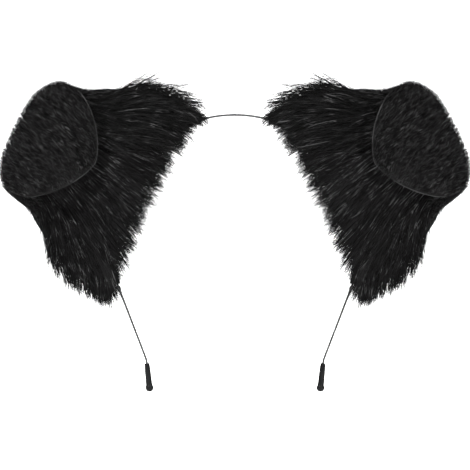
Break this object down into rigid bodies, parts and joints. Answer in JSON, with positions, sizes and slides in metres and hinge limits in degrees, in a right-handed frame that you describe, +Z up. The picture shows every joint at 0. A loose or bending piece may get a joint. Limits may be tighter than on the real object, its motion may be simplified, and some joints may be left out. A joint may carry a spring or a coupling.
{
  "type": "animal ears headband",
  "caption": "Thin sprung wire headband with capped ends and two long-pile plush animal ears whose round tips fold forward.",
  "frame": {"origin": "the underside of the wire at the middle of the crown, where the headband rests on the head", "axes": "+X to the right in the front view, which is the wearer's left, +Y to the back, +Z up"},
  "size_m": [0.2432, 0.0291, 0.1588],
  "materials": {
    "lacquered_wire": "thin black lacquer on hard-drawn steel wire, satin",
    "gloss_cap": "dipped black plastic, glossy",
    "short_plush": "short black plush, matt with a soft sheen",
    "long_pile": "long black faux fur with fine lighter streaks",
    "backing_cloth": "black knitted backing, matt",
    "foam": "dark thin foam sheet, matt",
    "edge_binding": "rolled plush edge, slightly paler where the nap parts",
    "sewing_thread": "twisted black thread"
  },
  "bodies": {
    "crown": {"wire_crown": "lacquered_wire"},
    "leg_left": {"wire_left": "lacquered_wire", "tip_cap_left": "gloss_cap", "base_sleeve_left": "backing_cloth", "end_binding_upper_left": "sewing_thread", "end_binding_lower_left": "sewing_thread", "back_plush_lower_left": "short_plush", "front_cloth_lower_left": "backing_cloth", "long_pile_lower_left": "long_pile"},
    "leg_right": {"wire_right": "lacquered_wire", "tip_cap_right": "gloss_cap", "base_sleeve_right": "backing_cloth", "end_binding_upper_right": "sewing_thread", "end_binding_lower_right": "sewing_thread", "back_plush_lower_right": "short_plush", "front_cloth_lower_right": "backing_cloth", "long_pile_lower_right": "long_pile"},
    "ear_left": {"back_plush_left": "short_plush", "foam_sheet_left": "foam", "front_cloth_left": "backing_cloth", "long_pile_left": "long_pile", "flap_plush_left": "short_plush", "flap_foam_left": "foam", "flap_lining_left": "backing_cloth", "flap_edge_binding_left": "edge_binding", "flap_tack_upper_left": "sewing_thread", "flap_tack_lower_left": "sewing_thread"},
    "ear_right": {"back_plush_right": "short_plush", "foam_sheet_right": "foam", "front_cloth_right": "backing_cloth", "long_pile_right": "long_pile", "flap_plush_right": "short_plush", "flap_foam_right": "foam", "flap_lining_right": "backing_cloth", "flap_edge_binding_right": "edge_binding", "flap_tack_upper_right": "sewing_thread", "flap_tack_lower_right": "sewing_thread"}
  },
  "joints": [
    {"name": "leg_left_flex", "type": "hinge", "parent": "crown", "child": "leg_left", "pos_m": [-0.00905, 0, -0.00003], "axis": [0, 1, 0], "range_deg": [-3, 15], "stiffness_Nm_per_rad": 0.45},
    {"name": "leg_right_flex", "type": "hinge", "parent": "crown", "child": "leg_right", "pos_m": [0.00905, 0, -0.00003], "axis": [0, -1, 0], "range_deg": [-3, 15], "stiffness_Nm_per_rad": 0.45},
    {"name": "ear_left_bend", "type": "hinge", "parent": "leg_left", "child": "ear_left", "pos_m": [-0.06265, 0, -0.03317], "axis": [0.4462, 0, 0.8949], "range_deg": [-15, 15], "stiffness_Nm_per_rad": 0.02},
    {"name": "ear_right_bend", "type": "hinge", "parent": "leg_right", "child": "ear_right", "pos_m": [0.06265, 0, -0.03317], "axis": [0.4462, 0, -0.8949], "range_deg": [-15, 15], "stiffness_Nm_per_rad": 0.02}
  ]
}
